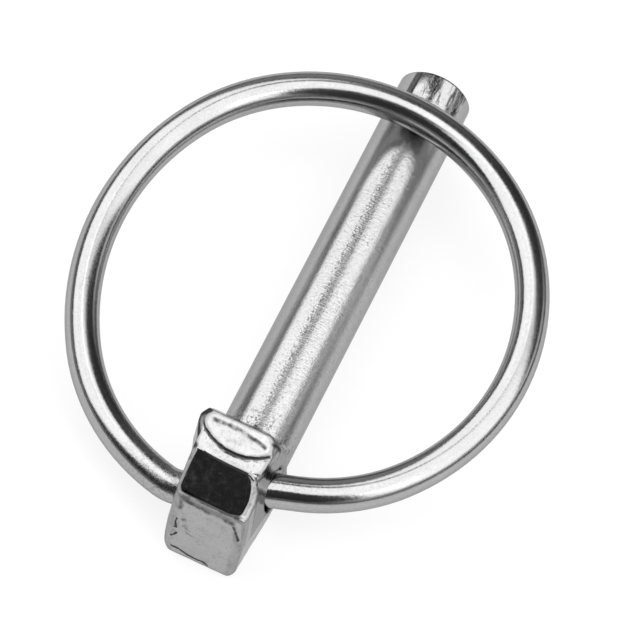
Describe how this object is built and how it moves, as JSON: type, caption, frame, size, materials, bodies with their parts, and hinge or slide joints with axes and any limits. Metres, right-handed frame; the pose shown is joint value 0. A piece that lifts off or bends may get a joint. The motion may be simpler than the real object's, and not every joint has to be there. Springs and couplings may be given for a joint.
{
  "type": "lynch pin",
  "caption": "Lynch pin: a round shank with a forged head, and a sprung wire ring that swings over the head to lock it.",
  "frame": {"origin": "centre of the shank in the plane of the head's flat shoulder", "axes": "+X along the shank from the shoulder to the tip, +Z out of the head's front, the side the closed ring lies on; the part lies on its back"},
  "size_m": [0.046, 0.0363, 0.0093],
  "materials": {
    "plated_steel": "bright zinc plating over forged steel, satin on the shank and polished on the head",
    "plated_spring_wire": "bright zinc plating over drawn wire, smooth with fine draw lines"
  },
  "bodies": {
    "pin": {"pin": "plated_steel"},
    "ring": {"ring": "plated_spring_wire"}
  },
  "joints": [
    {"name": "ring_swing", "type": "hinge", "parent": "pin", "child": "ring", "pos_m": [-0.00385, 0, 0], "axis": [0.4348, -0.8988, 0.0557], "range_deg": [0, 343.7]}
  ]
}
